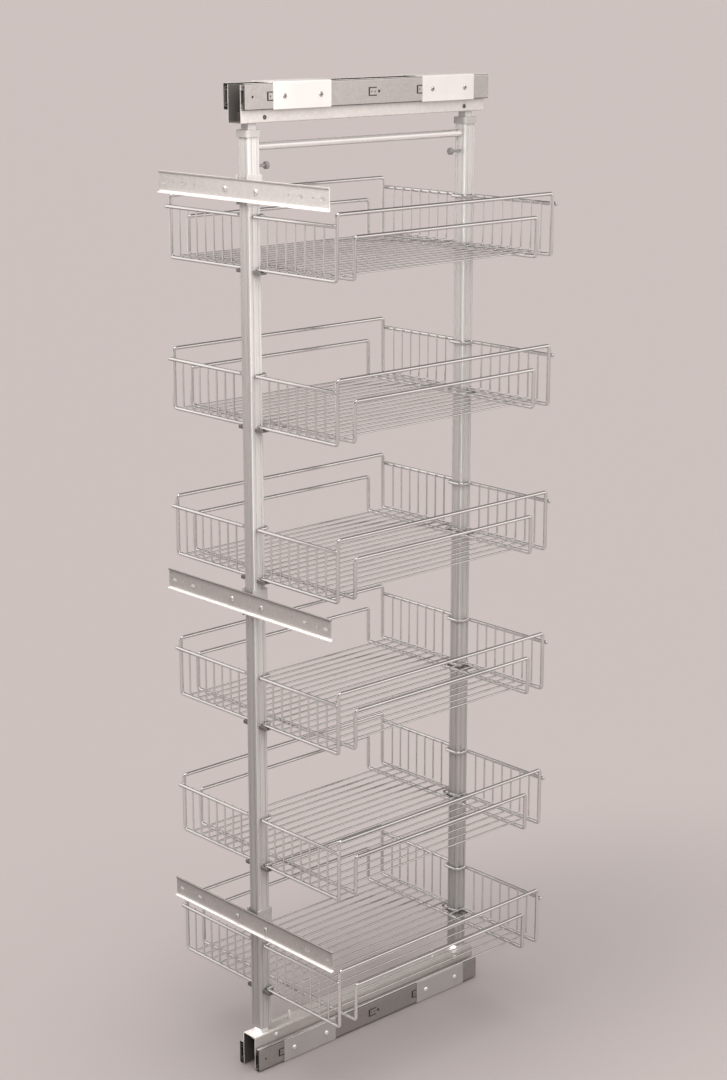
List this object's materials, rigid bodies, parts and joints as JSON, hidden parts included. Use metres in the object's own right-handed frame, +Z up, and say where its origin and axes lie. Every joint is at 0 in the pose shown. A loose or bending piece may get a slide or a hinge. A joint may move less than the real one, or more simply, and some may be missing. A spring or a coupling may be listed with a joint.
{
  "type": "pull out pantry frame",
  "caption": "Tall pull-out pantry frame: two telescopic square posts carry chrome wire baskets between ball-bearing slides at the floor and the top, with door strips in front.",
  "frame": {"origin": "middle of the underside, on the cabinet floor", "axes": "+X across the width, -Y the way it pulls out, +Z up"},
  "size_m": [0.412, 0.525, 1.648],
  "materials": {
    "chrome_wire": "bright",
    "clip_plastic": "satin",
    "aluminium": "satin anodised",
    "collar_plastic": "satin",
    "foot_plastic": "satin",
    "white_paint": "satin",
    "grey_paint": "satin",
    "zinc_strip": "zinc plated",
    "zinc_steel": "zinc plated",
    "screw_steel": "zinc plated"
  },
  "bodies": {
    "floor_runners": {"saddle_bottom_front": "grey_paint", "saddle_bottom_rear": "grey_paint", "saddle_screws_bottom": "screw_steel", "cabinet_member_bottom_left": "zinc_steel", "cabinet_member_bottom_right": "zinc_steel"},
    "cages_bottom_outer": {"ball_cages_bottom_outer": "zinc_steel"},
    "middle_members_bottom": {"middle_member_bottom_left": "zinc_steel", "middle_member_bottom_right": "zinc_steel"},
    "cages_bottom_inner": {"ball_cages_bottom_inner": "zinc_steel"},
    "frame": {"frame_member_bottom_left": "zinc_steel", "frame_member_bottom_right": "zinc_steel", "bottom_channel": "zinc_steel", "foot_front": "foot_plastic", "foot_rear": "foot_plastic", "foot_screws": "screw_steel", "post_front": "aluminium", "post_rear": "aluminium", "post_collars": "collar_plastic", "cross_bar": "chrome_wire", "basket_1_floor": "chrome_wire", "basket_1_grilles": "chrome_wire", "basket_1_rails": "chrome_wire", "basket_2_floor": "chrome_wire", "basket_2_grilles": "chrome_wire", "basket_2_rails": "chrome_wire", "basket_3_floor": "chrome_wire", "basket_3_grilles": "chrome_wire", "basket_3_rails": "chrome_wire", "basket_4_floor": "chrome_wire", "basket_4_grilles": "chrome_wire", "basket_4_rails": "chrome_wire", "basket_5_floor": "chrome_wire", "basket_5_grilles": "chrome_wire", "basket_5_rails": "chrome_wire", "basket_6_floor": "chrome_wire", "basket_6_grilles": "chrome_wire", "basket_6_rails": "chrome_wire", "basket_clips": "clip_plastic", "door_bracket_low": "zinc_strip", "door_bracket_middle": "zinc_strip", "door_bracket_top": "zinc_strip", "bracket_clamps": "zinc_strip", "bracket_bolts": "screw_steel"},
    "thumb_front": {"thumb_screw_front": "screw_steel"},
    "thumb_rear": {"thumb_screw_rear": "screw_steel"},
    "top_frame": {"tube_front": "aluminium", "tube_rear": "aluminium", "top_channel": "zinc_steel", "tube_screws": "screw_steel", "frame_member_top_left": "zinc_steel", "frame_member_top_right": "zinc_steel"},
    "cages_top_inner": {"ball_cages_top_inner": "zinc_steel"},
    "middle_members_top": {"middle_member_top_left": "zinc_steel", "middle_member_top_right": "zinc_steel"},
    "cages_top_outer": {"ball_cages_top_outer": "zinc_steel"},
    "top_runners": {"cabinet_member_top_left": "zinc_steel", "cabinet_member_top_right": "zinc_steel", "saddle_top_front": "white_paint", "saddle_top_rear": "white_paint", "saddle_screws_top": "screw_steel"}
  },
  "joints": [
    {"name": "pull_out", "type": "slide", "parent": "floor_runners", "child": "frame", "axis": [0, -1, 0], "range_m": [0, 0.48]},
    {"name": "bottom_outer_cages", "type": "slide", "parent": "floor_runners", "child": "cages_bottom_outer", "axis": [0, -1, 0], "range_m": [0, 0.12]},
    {"name": "bottom_middle_members", "type": "slide", "parent": "floor_runners", "child": "middle_members_bottom", "axis": [0, -1, 0], "range_m": [0, 0.24]},
    {"name": "bottom_inner_cages", "type": "slide", "parent": "floor_runners", "child": "cages_bottom_inner", "axis": [0, -1, 0], "range_m": [0, 0.36]},
    {"name": "height_adjust", "type": "slide", "parent": "frame", "child": "top_frame", "axis": [0, 0, 1], "range_m": [-0.009, 0.2]},
    {"name": "top_inner_cages", "type": "slide", "parent": "top_frame", "child": "cages_top_inner", "axis": [0, 1, 0], "range_m": [0, 0.12]},
    {"name": "top_middle_members", "type": "slide", "parent": "top_frame", "child": "middle_members_top", "axis": [0, 1, 0], "range_m": [0, 0.24]},
    {"name": "top_outer_cages", "type": "slide", "parent": "top_frame", "child": "cages_top_outer", "axis": [0, 1, 0], "range_m": [0, 0.36]},
    {"name": "top_runners_stay", "type": "slide", "parent": "top_frame", "child": "top_runners", "axis": [0, 1, 0], "range_m": [0, 0.48]},
    {"name": "thumb_front_turn", "type": "hinge", "parent": "frame", "child": "thumb_front", "pos_m": [0, -0.223, 1.521], "axis": [0, 1, 0], "continuous": true},
    {"name": "thumb_rear_turn", "type": "hinge", "parent": "frame", "child": "thumb_rear", "pos_m": [0, 0.223, 1.521], "axis": [0, -1, 0], "continuous": true}
  ],
  "couplings": [
    {"joint": "bottom_outer_cages", "follows": "pull_out", "ratio": 0.25},
    {"joint": "bottom_middle_members", "follows": "pull_out", "ratio": 0.5},
    {"joint": "bottom_inner_cages", "follows": "pull_out", "ratio": 0.75},
    {"joint": "top_inner_cages", "follows": "pull_out", "ratio": 0.25},
    {"joint": "top_middle_members", "follows": "pull_out", "ratio": 0.5},
    {"joint": "top_outer_cages", "follows": "pull_out", "ratio": 0.75},
    {"joint": "top_runners_stay", "follows": "pull_out", "ratio": 1}
  ]
}
